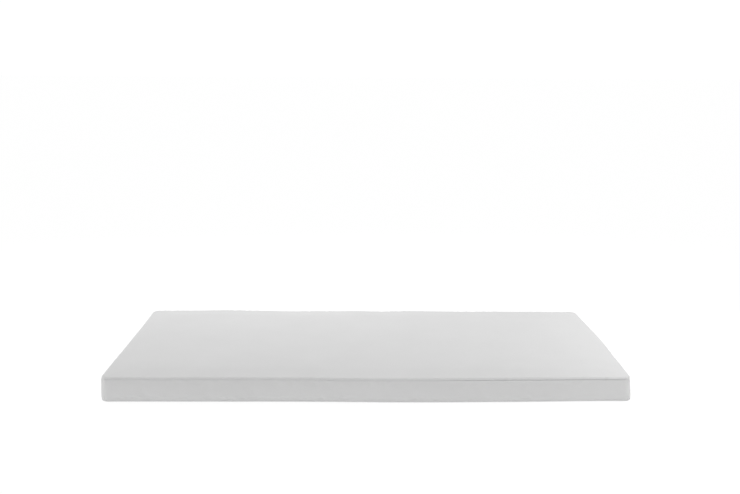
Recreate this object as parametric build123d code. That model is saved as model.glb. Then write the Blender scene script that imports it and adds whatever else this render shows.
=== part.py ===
from build123d import *
import os

# Memory foam mattress: a foam core in a sleeve, inside a zipped cover. Millimetres.
# X runs along the length, the zip is on the +Y side, Z is up, and the origin is the middle of the underside.

# --- whole mattress ---
LENGTH = 2000.0
WIDTH = 900.0
HEIGHT = 100.0
CORNER_RADIUS = 30.0

# --- cover ---
FABRIC = 2.0
TOP_SEAM = 91.0
BOTTOM_SEAM = 7.0
TOP_ROLL = 8.5
BOTTOM_ROLL = 6.0
SEAM_ROUND = 0.9
LIP = 3.5
LIP_THICKNESS = 1.2
LIP_PLAY = 0.1
THREAD = 0.8
GAP = 0.3

# --- core ---
SLEEVE = 1.0
SLEEVE_EDGE = 21.0
BACK_ROOM = 3.0
SLEEVE_FIT = 0.2
MEMORY_FOAM = 30.0
GLUE = 0.4

# --- zip ---
ZIP_HEIGHT = 50.0
ZIP_PANEL_END = 930.0
PANEL_EDGE = 9.0
TAPE_END = 925.0
TAPE_WIDTH = 15.5
TAPE = 0.6
TAPE_GAP = 0.5
TEETH_GAP = 0.15
TEETH_WIDTH = 2.45
TEETH_DEPTH = 2.0
STOP_AT = 900.0
STOP_LENGTH = 3.0
BOTTOM_STOP_LENGTH = 5.0
STOP_WALL = 0.8
STOP_PLAY = 0.5
STITCH_INSET = 2.5
STITCH_END = 2.0
STITCH_ROOM = 0.05

# --- slider and pull tab ---
SLIDER_LENGTH = 18.0
SLIDER_PLATE = 1.3
SLIDER_WALL = 1.1
SLIDER_PLAY = 0.3
SLIDER_CORNER = 1.2
FLARE = 3.5
WEDGE_HALF = 1.5
WEDGE_AT = 5.0
WEDGE_TIP = 0.6
BRIDGE_LENGTH = 7.2
BRIDGE_BAR = 1.1
BRIDGE_WIDTH = 2.0
BRIDGE_ROUND = 0.9
PIN_RADIUS = 0.6
PIN_PLAY = 0.4
TAB_LENGTH = 26.0
TAB_WIDTH = 7.0
TAB_HOLE_WIDTH = 3.2
TAB_HOLE_END = 5.0
TAB_TIP_ROUND = 2.8
TAB_RECESS_LENGTH = 9.0
TAB_RECESS = 0.3

# --- label ---
LABEL_LENGTH = 32.0
LABEL_HEIGHT = 45.0
LABEL = 0.4
LABEL_PLAY = 0.05

# places worked out from the sizes above
BACK = WIDTH / 2
PANEL_BACK = BACK - FABRIC
TAPE_INNER = PANEL_BACK - TAPE
SLIDER_MID = STOP_AT - STOP_LENGTH / 2 - STOP_PLAY - SLIDER_LENGTH / 2
SLIDER_OPEN = -STOP_AT + BOTTOM_STOP_LENGTH / 2 + STOP_PLAY + SLIDER_LENGTH / 2
PARTED_FROM = SLIDER_MID + WEDGE_AT - 2
OUTER_PLATE = PANEL_BACK + TEETH_DEPTH + SLIDER_PLAY
BRIDGE_BASE = OUTER_PLATE + SLIDER_PLATE
PIN_OUT = BRIDGE_BASE + PIN_PLAY + PIN_RADIUS


def span(x_low, x_high, y_low, y_high, z_low, z_high):
    """A plain block between two corners."""
    block = Box(x_high - x_low, y_high - y_low, z_high - z_low)
    return Pos((x_low + x_high) / 2, (y_low + y_high) / 2, (z_low + z_high) / 2) * block


def slab(inset, z_low, z_high, top_round=0.0, bottom_round=0.0, back_inset=None):
    """A slab with the mattress's rounded corners, set in from its side walls."""
    back_inset = inset if back_inset is None else back_inset
    plan = RectangleRounded(LENGTH - 2 * inset, WIDTH - inset - back_inset, CORNER_RADIUS - inset)
    solid = Pos(0, (inset - back_inset) / 2, z_low) * extrude(plan, z_high - z_low)
    if top_round:
        solid = fillet(solid.faces().sort_by(Axis.Z)[-1].edges(), top_round)
    if bottom_round:
        solid = fillet(solid.faces().sort_by(Axis.Z)[0].edges(), bottom_round)
    return solid


def plate(points, y_low, y_high):
    """A flat piece standing along the back face: an outline in X and Z with its thickness in Y."""
    outline = make_face(Polyline(*[(x, 0, z) for x, z in points], close=True))
    return Pos(0, y_low, 0) * extrude(outline, y_high - y_low, dir=(0, 1, 0))


def both_sides(upper):
    """A piece above the zip and its mirror image below it."""
    return upper, mirror(upper, Plane.XY.offset(ZIP_HEIGHT))


def both_ends(piece):
    """A piece at the +X end and its mirror image at the other end, as one group."""
    return Compound([piece, mirror(piece, Plane.YZ)])


def core_block(inset):
    """The foam core's outer form, set in from the sleeve's outer surface."""
    side = FABRIC + GAP + inset
    return slab(side, side, HEIGHT - side, SLEEVE_EDGE - inset, SLEEVE_EDGE - inset,
                back_inset=FABRIC + BACK_ROOM + inset)


def foam_layers():
    """The memory foam on top, the support foam under it and the glue between.

    The sleeve's sewn ends press a shallow groove into the support foam.
    """
    block = core_block(SLEEVE + SLEEVE_FIT)
    joint = block.bounding_box().max.Z - MEMORY_FOAM

    def layer(z_low, z_high):
        return block & span(-LENGTH, LENGTH, -WIDTH, WIDTH, z_low, z_high)

    return layer(joint, HEIGHT), layer(joint - GLUE, joint), layer(0, joint - GLUE) - sleeve_end_seams()


def inner_sleeve():
    """A closed knitted shell round the foam."""
    return core_block(0) - core_block(SLEEVE)


def sleeve_end_seams():
    """A sewn ridge across each end of the sleeve."""
    end = LENGTH / 2 - FABRIC - GAP - SLEEVE - THREAD
    reach = WIDTH / 2 - CORNER_RADIUS - SLEEVE_EDGE
    mid = HEIGHT / 2
    return both_ends(span(end, end + THREAD, -reach, reach, mid - THREAD, mid + THREAD))


def lip_ring(z_low, z_high):
    """The seam allowance, a flat ring turned inwards at a seam."""
    return slab(FABRIC, z_low, z_high) - slab(FABRIC + LIP, z_low, z_high)


def top_panel():
    """The cover's top, rolled over its edge down to the seam."""
    outer = slab(0, TOP_SEAM, HEIGHT, TOP_ROLL)
    outer = fillet(outer.faces().sort_by(Axis.Z)[0].edges(), SEAM_ROUND / 2)
    hollow = slab(FABRIC, TOP_SEAM, HEIGHT - FABRIC, TOP_ROLL - FABRIC)
    return outer - hollow + lip_ring(TOP_SEAM, TOP_SEAM + LIP_THICKNESS)


def bottom_panel():
    """The cover's underside, rolled up its edge to the seam."""
    outer = slab(0, 0, BOTTOM_SEAM, 0, BOTTOM_ROLL)
    outer = fillet(outer.faces().sort_by(Axis.Z)[-1].edges(), SEAM_ROUND / 2)
    hollow = slab(FABRIC, FABRIC, BOTTOM_SEAM, 0, BOTTOM_ROLL - FABRIC)
    return outer - hollow + lip_ring(BOTTOM_SEAM - LIP_THICKNESS, BOTTOM_SEAM)


def border_ring():
    """The whole side wall with a lip at each seam."""
    wall = slab(0, BOTTOM_SEAM, TOP_SEAM, SEAM_ROUND, SEAM_ROUND) - slab(FABRIC, BOTTOM_SEAM, TOP_SEAM)
    lower = lip_ring(BOTTOM_SEAM, BOTTOM_SEAM + LIP_THICKNESS)
    upper = lip_ring(TOP_SEAM - LIP_THICKNESS, TOP_SEAM)
    return wall + lower + upper


def border_strip(ring):
    """The side wall, less the stretch that the zip panels fill."""
    return ring - span(-ZIP_PANEL_END, ZIP_PANEL_END, 0, WIDTH, 0, HEIGHT)


def zip_panels(ring):
    """The two straight strips above and below the zip, each with a groove for its stitching."""
    stretch = ring & span(-ZIP_PANEL_END, ZIP_PANEL_END, 0, WIDTH, 0, HEIGHT)
    edge = ZIP_HEIGHT + PANEL_EDGE
    low_edge = ZIP_HEIGHT - PANEL_EDGE
    groove, low_groove = both_sides(stitch_row(STITCH_ROOM))
    upper = stretch & span(-LENGTH, LENGTH, 0, WIDTH, edge, HEIGHT)
    lower = stretch & span(-LENGTH, LENGTH, 0, WIDTH, 0, low_edge)
    return upper - groove, lower - low_groove


def stitch_row(room=0.0):
    """One long row of lockstitch sunk in the fabric beside the zip, with any room left round it."""
    z_mid = ZIP_HEIGHT + PANEL_EDGE + STITCH_INSET
    reach = ZIP_PANEL_END - STITCH_END + room
    half = THREAD / 2 + room
    return span(-reach, reach, BACK - half, BACK, z_mid - half, z_mid + half)


def zip_stitching():
    """Both rows of stitching that hold the tapes."""
    return Compound(both_sides(stitch_row()))


def overlock(seam):
    """The thread that covers the raw edges of a seam's two lips, just inside them."""
    inset = FABRIC + LIP + LIP_PLAY
    low, high = seam - LIP_THICKNESS, seam + LIP_THICKNESS
    return slab(inset, low, high) - slab(inset + THREAD, low, high)


def side_seam_threads():
    """The upright seams between the border and the zip panels."""
    low = BOTTOM_SEAM + LIP_THICKNESS + THREAD
    high = TOP_SEAM - LIP_THICKNESS - THREAD
    return both_ends(span(ZIP_PANEL_END - THREAD, ZIP_PANEL_END + THREAD, PANEL_BACK - THREAD, PANEL_BACK,
                          low, high))


def zip_tape():
    """A woven tape behind a zip panel, parted where the slider's wedge stands."""
    near = ZIP_HEIGHT + TAPE_GAP
    parted = ZIP_HEIGHT + WEDGE_HALF + SLIDER_PLAY
    far = ZIP_HEIGHT + TAPE_WIDTH
    points = [(-TAPE_END, near), (SLIDER_MID, near), (PARTED_FROM, parted),
              (TAPE_END, parted), (TAPE_END, far), (-TAPE_END, far)]
    return plate(points, TAPE_INNER, PANEL_BACK)


def zip_teeth():
    """One side's row of coil teeth, parted round the slider's wedge up to its top stop."""
    near = ZIP_HEIGHT + TEETH_GAP
    parted = ZIP_HEIGHT + WEDGE_HALF + SLIDER_PLAY
    start = -STOP_AT + BOTTOM_STOP_LENGTH / 2
    end = STOP_AT - STOP_LENGTH / 2
    near_edge = [(start, near), (SLIDER_MID, near), (PARTED_FROM, parted), (end, parted)]
    points = near_edge + [(x, z + TEETH_WIDTH) for x, z in reversed(near_edge)]
    return plate(points, PANEL_BACK, PANEL_BACK + TEETH_DEPTH)


def zip_top_stops(tapes):
    """A clamp on each tape's edge at the closed end."""
    z_low = ZIP_HEIGHT + WEDGE_HALF + SLIDER_PLAY - STOP_WALL
    clamp = span(STOP_AT - STOP_LENGTH / 2, STOP_AT + STOP_LENGTH / 2,
                 TAPE_INNER - STOP_WALL, PANEL_BACK + TEETH_DEPTH,
                 z_low, z_low + TEETH_WIDTH + 2 * STOP_WALL)
    return Compound(both_sides(clamp - tapes[0]))


def zip_bottom_stop(tapes):
    """One clamp over both tapes at the open end."""
    half = TEETH_GAP + TEETH_WIDTH + STOP_WALL
    x_low = -STOP_AT - BOTTOM_STOP_LENGTH / 2
    clamp = span(x_low, x_low + BOTTOM_STOP_LENGTH, TAPE_INNER - STOP_WALL, PANEL_BACK + TEETH_DEPTH,
                 ZIP_HEIGHT - half, ZIP_HEIGHT + half)
    return clamp - tapes[0] - tapes[1]


def both_halves(upper):
    """A closed outline from its upper half, given as x and height over the zip's middle line."""
    return ([(x, ZIP_HEIGHT + z) for x, z in upper]
            + [(x, ZIP_HEIGHT - z) for x, z in reversed(upper)])


def slider_plate(y_low, y_high, wall=0.0, past_ends=0.0):
    """A layer of the slider's plan, narrow at the tail and flared at the mouth.

    Set in by the wall and run past both ends, it is the channel that the teeth pass through.
    """
    tail = TEETH_GAP + TEETH_WIDTH + SLIDER_PLAY + SLIDER_WALL - wall
    mouth = tail + WEDGE_HALF + SLIDER_PLAY - TEETH_GAP
    reach = SLIDER_LENGTH / 2 + past_ends
    upper = [(SLIDER_MID - reach, tail), (SLIDER_MID - FLARE / 2, tail),
             (SLIDER_MID + FLARE / 2, mouth), (SLIDER_MID + reach, mouth)]
    layer = plate(both_halves(upper), y_low, y_high)
    return layer if wall else fillet(layer.edges().filter_by(Axis.Y), SLIDER_CORNER)


def wedge(y_low, y_high):
    """The post between the plates that parts the teeth, pointed towards the tail."""
    widest = SLIDER_MID + WEDGE_AT
    mouth = SLIDER_MID + SLIDER_LENGTH / 2 - WEDGE_TIP
    upper = [(widest - 1, WEDGE_HALF), (widest + 1, WEDGE_HALF), (mouth, WEDGE_TIP)]
    outline = both_halves(upper) + [(SLIDER_MID + WEDGE_HALF, ZIP_HEIGHT)]
    return plate(outline, y_low, y_high)


def zip_slider():
    """Two plates joined by the wedge, with side walls over the teeth and a bridge for the tab."""
    inner_face = TAPE_INNER - SLIDER_PLAY
    wall_foot = PANEL_BACK + SLIDER_PLAY
    outer = slider_plate(OUTER_PLATE, BRIDGE_BASE)
    inner = slider_plate(inner_face - SLIDER_PLATE, inner_face)
    walls = slider_plate(wall_foot, OUTER_PLATE) - slider_plate(wall_foot, OUTER_PLATE, SLIDER_WALL, 1)
    return outer + inner + walls + wedge(inner_face, OUTER_PLATE) + bridge()


def bridge():
    """The small arch that the pull tab's pin turns under."""
    half = BRIDGE_LENGTH / 2
    opening = half - BRIDGE_BAR
    under = PIN_OUT + PIN_RADIUS + PIN_PLAY
    z_low = ZIP_HEIGHT - BRIDGE_WIDTH / 2
    z_high = ZIP_HEIGHT + BRIDGE_WIDTH / 2
    arch = span(SLIDER_MID - half, SLIDER_MID + half, BRIDGE_BASE, under + BRIDGE_BAR, z_low, z_high)
    arch = fillet(arch.edges().filter_by(Axis.Z).group_by(Axis.Y)[-1], BRIDGE_ROUND)
    return arch - span(SLIDER_MID - opening, SLIDER_MID + opening, BRIDGE_BASE, under, z_low, z_high)


def pull_tab():
    """A flat tab lying along the closed zip, with a round pin at its hinged end.

    A window beside the pin clears the bridge, and a shallow finger recess is sunk near the tip.
    """
    half = TAB_WIDTH / 2
    hole = TAB_HOLE_WIDTH / 2
    tip = SLIDER_MID - TAB_LENGTH
    low, high = PIN_OUT - PIN_RADIUS, PIN_OUT + PIN_RADIUS
    body = span(tip, SLIDER_MID, low, high, ZIP_HEIGHT - half, ZIP_HEIGHT + half)
    body = fillet(body.edges().filter_by(Axis.Y).group_by(Axis.X)[0], TAB_TIP_ROUND)
    body -= span(SLIDER_MID - TAB_HOLE_END, SLIDER_MID + 1, low, high, ZIP_HEIGHT - hole, ZIP_HEIGHT + hole)
    pin = Pos(SLIDER_MID, PIN_OUT, ZIP_HEIGHT) * Cylinder(PIN_RADIUS, TAB_WIDTH)
    slot = extrude(SlotOverall(TAB_RECESS_LENGTH, TAB_HOLE_WIDTH), TAB_RECESS, both=True)
    recess = Pos(tip + TAB_RECESS_LENGTH, high, ZIP_HEIGHT) * Rot(90, 0, 0) * slot
    return body + pin - recess


def care_label():
    """A blank label sewn into the upright seam, lying on the border."""
    root = -ZIP_PANEL_END
    low = BACK + LABEL_PLAY
    half = LABEL_HEIGHT / 2
    return span(root - LABEL_LENGTH, root, low, low + LABEL, ZIP_HEIGHT - half, ZIP_HEIGHT + half)


def build():
    """Every node's solid, by the node's name."""
    ring = border_ring()
    memory, glue, support = foam_layers()
    upper_panel, lower_panel = zip_panels(ring)
    tapes = both_sides(zip_tape())
    teeth = both_sides(zip_teeth())
    return {
        "memory_foam_layer": memory,
        "glue_film": glue,
        "support_foam_core": support,
        "inner_sleeve": inner_sleeve(),
        "sleeve_end_seams": sleeve_end_seams(),
        "top_panel": top_panel(),
        "bottom_panel": bottom_panel(),
        "border_strip": border_strip(ring),
        "zip_panel_upper": upper_panel,
        "zip_panel_lower": lower_panel,
        "top_overlock": overlock(TOP_SEAM),
        "bottom_overlock": overlock(BOTTOM_SEAM),
        "side_seam_threads": side_seam_threads(),
        "zip_tape_upper": tapes[0],
        "zip_tape_lower": tapes[1],
        "zip_teeth_upper": teeth[0],
        "zip_teeth_lower": teeth[1],
        "zip_top_stops": zip_top_stops(tapes),
        "zip_bottom_stop": zip_bottom_stop(tapes),
        "zip_stitching": zip_stitching(),
        "zip_slider": zip_slider(),
        "pull_tab": pull_tab(),
        "care_label": care_label(),
    }


os.makedirs("parts", exist_ok=True)
for name, solid in build().items():
    export_step(solid, f"parts/{name}.step")
print(f"slider from x {SLIDER_MID:.2f} to {SLIDER_OPEN:.2f}, pull tab pin at y {PIN_OUT:.2f}")
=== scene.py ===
import math

import bmesh
import bpy
import numpy as np
from mathutils import Euler, Matrix, Vector


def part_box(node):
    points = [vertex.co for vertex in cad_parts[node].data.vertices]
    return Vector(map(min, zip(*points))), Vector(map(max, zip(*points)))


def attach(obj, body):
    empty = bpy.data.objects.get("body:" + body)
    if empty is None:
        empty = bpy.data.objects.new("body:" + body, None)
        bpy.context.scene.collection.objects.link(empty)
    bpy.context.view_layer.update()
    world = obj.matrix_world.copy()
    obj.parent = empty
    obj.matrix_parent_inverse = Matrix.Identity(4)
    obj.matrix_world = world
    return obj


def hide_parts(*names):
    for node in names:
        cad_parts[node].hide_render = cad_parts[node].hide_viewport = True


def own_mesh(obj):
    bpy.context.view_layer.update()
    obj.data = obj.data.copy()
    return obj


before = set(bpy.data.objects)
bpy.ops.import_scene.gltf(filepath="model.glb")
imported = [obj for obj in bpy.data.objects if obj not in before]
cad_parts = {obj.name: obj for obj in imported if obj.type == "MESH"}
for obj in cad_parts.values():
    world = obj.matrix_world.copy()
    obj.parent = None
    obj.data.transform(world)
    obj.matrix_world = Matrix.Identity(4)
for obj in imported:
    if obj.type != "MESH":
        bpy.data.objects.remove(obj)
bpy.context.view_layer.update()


# --- The studio ---
# A pale floor in a soft room, with four large softboxes: one behind, one at the left, two at the right.
# The camera stands in front of the long side, at about chest height.
CAMERA_AT = (-0.032, -3.574, 1.268)
CAMERA_LENS = 42.77
CAMERA_DOWN = math.radians(12.07)
CAMERA_RIGHT = math.radians(0.76)
CAMERA_ROLL = math.radians(0.345)
FLOOR_REACH = 60.0
FLOOR_GREY = 0.3
FLOOR_GLOW = 0.785


class Value:
    """One output of a node. Arithmetic on it adds the Math nodes that work it out."""

    def __init__(self, tree, socket):
        self.tree = tree
        self.socket = socket

    def math(self, operation, *others):
        """A Math node on this value and the others."""
        maker = self.tree.nodes.new("ShaderNodeMath")
        maker.operation = operation
        for place, value in enumerate((self, *others)):
            if isinstance(value, Value):
                self.tree.links.new(value.socket, maker.inputs[place])
            else:
                maker.inputs[place].default_value = value
        return Value(self.tree, maker.outputs[0])

    def __add__(self, other):
        return self.math("ADD", other)

    __radd__ = __add__

    def __sub__(self, other):
        return self.math("SUBTRACT", other)

    def __rsub__(self, other):
        return self.math("MULTIPLY", -1.0).math("ADD", other)

    def __mul__(self, other):
        return self.math("MULTIPLY", other)

    __rmul__ = __mul__

    def __truediv__(self, other):
        return self.math("DIVIDE", other)

    def wave(self, length):
        """The sine of this distance, in waves of that length."""
        return (self * (2 * math.pi / length)).math("SINE")


class Finish:
    """A material, or the world, being built from nodes."""

    def __init__(self, name, owner=None):
        self.owner = owner or bpy.data.materials.new(name)
        self.owner.use_nodes = True
        self.tree = self.owner.node_tree
        self.shader = self.tree.nodes.get("Principled BSDF")

    def node(self, kind, output=0, settings=None, sockets=None):
        """A node of that type with its settings, then its sockets' values or links. Gives one output."""
        made = self.tree.nodes.new(kind)
        for name, value in (settings or {}).items():
            setattr(made, name, value)
        for name, value in (sockets or {}).items():
            self.feed(made.inputs[name], value)
        return Value(self.tree, made.outputs[output])

    def feed(self, socket, value):
        """Links a value to a socket, or sets the socket to a constant."""
        if isinstance(value, Value):
            self.tree.links.new(value.socket, socket)
        else:
            socket.default_value = value

    def surface(self, **sockets):
        """Sets the shader's sockets by name, with underscores for spaces."""
        for name, value in sockets.items():
            self.feed(self.shader.inputs[name.replace("_", " ")], value)
        return self.owner

    def relief(self, height, distance, strength):
        """Bump of that depth in metres and that strength, ready for the Normal socket."""
        return self.node("ShaderNodeBump", sockets={"Height": height, "Distance": distance,
                                                    "Strength": strength})

    def noise(self, scale, detail=3.0, roughness=0.5):
        """Soft noise from 0 to 1 over the object, with that many features to the metre."""
        return self.node("ShaderNodeTexNoise", "Fac", sockets={
            "Vector": self.place(), "Scale": scale, "Detail": detail, "Roughness": roughness})

    def tint(self, amount, dark, light):
        """A colour between two, by a value from 0 to 1."""
        return self.node("ShaderNodeMix", 2, {"data_type": "RGBA"},
                         {0: amount, 6: (*dark, 1.0), 7: (*light, 1.0)})

    def place(self):
        """The point on the object, in metres."""
        return self.node("ShaderNodeTexCoord", "Object")

    def split(self, spot):
        """The X, Y and Z of a point."""
        x = self.node("ShaderNodeSeparateXYZ", "X", None, {"Vector": spot})
        return [Value(self.tree, x.socket.node.outputs[axis]) for axis in "XYZ"]

    def cloth_place(self):
        """The two distances along the cloth, in metres, from the piece's own map."""
        return self.split(self.node("ShaderNodeUVMap", 0, {"uv_map": "cloth"}))[:2]


def stand(name, data):
    """A new object with that data, put in the scene."""
    made = bpy.data.objects.new(name, data)
    bpy.context.scene.collection.objects.link(made)
    return made


camera = stand("camera", bpy.data.cameras.new("camera"))
camera.data.lens = CAMERA_LENS
aim = Euler((math.pi / 2 - CAMERA_DOWN, 0, -CAMERA_RIGHT)).to_matrix().to_4x4()
camera.matrix_world = Matrix.Translation(CAMERA_AT) @ aim @ Matrix.Rotation(CAMERA_ROLL, 4, "Z")
bpy.context.scene.camera = camera
bpy.context.scene.view_settings.view_transform = "Standard"


def lamp(name, at, towards, size, power):
    """A square soft lamp facing a point."""
    light = bpy.data.lights.new(name, "AREA")
    light.size = size
    light.energy = power
    holder = stand(name, light)
    holder.location = at
    holder.rotation_euler = (Vector(towards) - Vector(at)).to_track_quat("-Z", "Y").to_euler()


lamp("back_softbox", (-0.4, 1.7, 1.3), (-0.3, 0.3, 0.1), 1.6, 16.8)
lamp("right_back_softbox", (1.6, 0.35, 0.7), (0.85, 0.1, 0.1), 0.7, 2.0)
lamp("right_front_softbox", (1.6, -0.45, 0.7), (0.85, -0.1, 0.1), 0.7, 2.7)
lamp("left_softbox", (-1.9, 0.3, 1.2), (-0.6, 0.0, 0.1), 1.2, 1.8)

# The room's light by direction: a little from everywhere, more from overhead and from the left, and a
# softer glow from above the front. Each entry is a direction, its strength and how tightly it is gathered.
# Behind the object the backdrop shows plain white.
ROOM_LIGHT = 0.01
ROOM_SIDES = (((0, 0, 1), 0.74, 1), ((-1, 0, 0), 0.64, 1), ((0, -0.6, 0.8), 0.26, 4))
BACKDROP = 1.02
room = Finish("room", bpy.data.worlds.new("room"))
bpy.context.scene.world = room.owner
heading = room.node("ShaderNodeTexCoord", "Generated")
seen = room.node("ShaderNodeLightPath", "Is Camera Ray")
light = ROOM_LIGHT
for side, strength, gathered in ROOM_SIDES:
    facing = room.node("ShaderNodeVectorMath", "Value", {"operation": "DOT_PRODUCT"}, {0: heading, 1: side})
    light = facing.math("MAXIMUM", 0.0).math("POWER", float(gathered)) * strength + light
backdrop = room.tree.nodes["Background"]
backdrop.inputs["Color"].default_value = (1, 1, 1, 1)
room.feed(backdrop.inputs["Strength"], seen * BACKDROP + (1 - seen) * light)

floor_corners = [(x * FLOOR_REACH, y * FLOOR_REACH, 0) for x, y in ((-1, -1), (1, -1), (1, 1), (-1, 1))]
floor_mesh = bpy.data.meshes.new("floor")
floor_mesh.from_pydata(floor_corners, [], [(0, 1, 2, 3)])
floor = stand("floor", floor_mesh)
pale = Finish("pale_floor")
floor_mesh.materials.append(pale.surface(
    Base_Color=(FLOOR_GREY, FLOOR_GREY, FLOOR_GREY, 1), Roughness=1.0, Specular_IOR_Level=0.0,
    Emission_Color=(1, 1, 1, 1), Emission_Strength=FLOOR_GLOW))


# --- The cover's form ---
# A top panel, a border and a bottom panel of one thick smooth knit, sewn inside out at two seams that
# run right round and turned, so each seam lies in a shallow groove with the cloth rolling out of it.
TOP_LOW, TOP_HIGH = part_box("top_panel")
HALF_X = TOP_HIGH.x
HALF_Y = TOP_HIGH.y
TOP = TOP_HIGH.z
TOP_SEAM = TOP_LOW.z
BOTTOM_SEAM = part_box("bottom_panel")[1].z
CORNER = 0.030
ALLOWANCE = 0.0055
SEAM_DEEP = 0.0030
SEAM_SPAN = 0.0065
CLOTH = 0.0011
GRID = 0.008
# A seam holds the cloth still up to the first of these distances, and leaves it free from the second.
SEAM_HOLD = (0.004, 0.012)
# How far the seams' grooves are drawn shut, from 0 to 1: the bottom one, the top one, and how much more
# the top one is shut at the front left and how much less at the front right.
BOTTOM_TIGHTNESS = 0.6
TOP_TIGHTNESS = 0.35
FRONT_LEFT_SHUT = 0.55
FRONT_RIGHT_OPEN = 0.25


def hump(x, middle, reach):
    """A smooth hill: the squared cosine of the distance from its middle, gone at that reach each side."""
    return np.cos(np.clip((x - middle) / reach, -1, 1) * math.pi / 2) ** 2


def rise(x, low, high):
    """A smooth step from 0 at low to 1 at high: three times the share squared, less twice its cube."""
    share = np.clip((x - low) / (high - low), 0, 1)
    return share * share * (3 - 2 * share)


def from_ends(x, length):
    """The distance of a place from the nearer end of a length."""
    return np.minimum(x, length - x)


def drawn_shut(inset, from_edge, tight):
    """The inset of a groove made shallower: less a share of itself, and of no more than the groove's depth.

    The share holds for half the groove's span from the seam and is gone at the whole span.
    """
    near = np.clip(2 - from_edge * 2 / SEAM_SPAN, 0, 1)
    return inset - tight * near * np.minimum(inset, SEAM_DEEP)


class Profile:
    """A soft line across the cloth, from its raw edge inwards, as inset and height by distance along it.

    The line is the quadratic spline of a few control points, so it rounds off every corner between them.
    """

    def __init__(self, *points):
        points = np.array(points)
        inner = (points[1:-2] + points[2:-1]) / 2
        starts = np.vstack([points[:1], inner])
        ends = np.vstack([inner, points[-1:]])
        t = np.linspace(0, 1, 17)[:, None, None]
        curve = (1 - t) ** 2 * starts + 2 * t * (1 - t) * points[1:-1] + t ** 2 * ends
        curve = np.vstack([points[:1], curve[1:].transpose(1, 0, 2).reshape(-1, 2)])
        steps = np.linalg.norm(np.diff(curve, axis=0), axis=1)
        self.curve = curve
        self.along = np.concatenate([[0], np.cumsum(steps)])
        self.length = self.along[-1]

    def inset(self, distance):
        """How far in from the side the line is, by the distance along it."""
        return np.interp(distance, self.along, self.curve[:, 0])

    def height(self, distance):
        """How high the line is, by the distance along it."""
        return np.interp(distance, self.along, self.curve[:, 1])


class Slab:
    """The plan of a long slab with rounded corners, as a grid of two distances along its cloth.

    The lines of the grid run straight, and in each corner they fan out, so that every ring of the grid is
    a rounded rectangle. The fan reaches from the cloth's edge to the corner's radius.
    """

    def __init__(self, half_x, half_y, corner, fan, y_mid=0.0):
        self.half_x, self.half_y, self.corner, self.fan, self.y_mid = half_x, half_y, corner, fan, y_mid
        self.long = 2 * (fan + half_x - corner)
        self.wide = 2 * (fan + half_y - corner)
        self.girth = 2 * (self.long + self.wide)

    def spots(self, u, v, inset):
        """X and Y of the points at those distances, on rings that far in from the sides."""
        near_x = from_ends(u, self.long)
        near_y = from_ends(v, self.wide)
        ring = np.minimum(near_x, near_y)
        other = np.maximum(near_x, near_y)
        radius = np.maximum(self.corner - inset, 0)
        share = np.clip((other - ring) / np.maximum(self.fan - ring, 1e-9), 0, 1)
        turn = np.where(ring < self.fan, math.pi / 4 * (1 - share), 0)
        across = np.where(ring < self.fan, inset + radius * (1 - np.cos(turn)),
                          self.corner + ring - self.fan)
        past = np.maximum(other - self.fan, 0)
        beside = np.where(ring < self.fan, inset + radius * (1 - np.sin(turn)), self.corner) + past
        x = self.half_x - np.where(near_x < near_y, across, beside)
        y = self.half_y - np.where(near_x < near_y, beside, across)
        return np.where(u < self.long / 2, -x, x), self.y_mid + np.where(v < self.wide / 2, -y, y)

    def points(self, u, v, line, tight=0):
        """The points of a panel whose outer rings follow the profile, and which is level inside them."""
        ring = np.minimum(from_ends(u, self.long), from_ends(v, self.wide))
        along = np.minimum(ring / self.fan, 1) * line.length
        x, y = self.spots(u, v, drawn_shut(line.inset(along), along, tight))
        return np.stack([x, y, line.height(along)], -1)

    def lines(self, edge, step):
        """Grid lines each way: the given ones near every edge, then even ones between."""
        return spread(self.long, edge, step), spread(self.wide, edge, step)

    def edge_places(self, u, v):
        """Where the grid's lines meet the edge, by the distance walked round it."""
        return np.concatenate([u[:-1], self.long + v[:-1], self.long + self.wide + u[:-1],
                               2 * self.long + self.wide + v[:-1]])

    def edge_spot(self, walked):
        """The two grid distances of a place on the edge, by the distance walked from the front left.

        The walk goes along the front, up the right side and along the back. A walk below nothing goes
        the other way, up the left side.
        """
        walked = np.where(walked > 2 * self.long + self.wide, walked - self.girth, walked)
        u = (np.clip(walked, 0, self.long) - np.maximum(walked - self.long - self.wide, 0)
             + np.maximum(-walked - self.wide, 0))
        return u, np.clip(-walked, 0, self.wide) + np.clip(walked - self.long, 0, self.wide)


def spread(length, edge, step):
    """Places along a length: the given ones near both its ends, then even ones between."""
    edge = np.asarray(edge)
    inner = np.linspace(edge[-1], length - edge[-1], max(int(round((length - 2 * edge[-1]) / step)), 1) + 1)
    return np.concatenate([edge[:-1], inner, length - edge[:-1][::-1]])


def link_mesh(name, points, quads, cloth=None):
    """A smooth-shaded mesh object from arrays of points and of four-cornered faces."""
    mesh = bpy.data.meshes.new(name)
    mesh.vertices.add(len(points))
    mesh.vertices.foreach_set("co", np.asarray(points, np.float32).ravel())
    mesh.loops.add(quads.size)
    mesh.loops.foreach_set("vertex_index", quads.ravel().astype(np.int32))
    mesh.polygons.add(len(quads))
    mesh.polygons.foreach_set("loop_start", np.arange(0, quads.size, 4, dtype=np.int32))
    mesh.polygons.foreach_set("use_smooth", np.ones(len(quads), bool))
    if cloth is not None:
        layer = mesh.uv_layers.new(name="cloth")
        layer.uv.foreach_set("vector", np.asarray(cloth, np.float32)[quads.ravel()].ravel())
    mesh.update(calc_edges=True)
    return stand(name, mesh)


def net(rows, columns, closed=False, flip=False, start=0):
    """The faces of a grid of points, closed into a tube along its columns if asked."""
    index = np.arange(rows * columns).reshape(rows, columns) + start
    if closed:
        index = np.hstack([index, index[:, :1]])
    quads = np.stack([index[:-1, :-1], index[:-1, 1:], index[1:, 1:], index[1:, :-1]], -1).reshape(-1, 4)
    return quads[:, ::-1] if flip else quads


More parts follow.
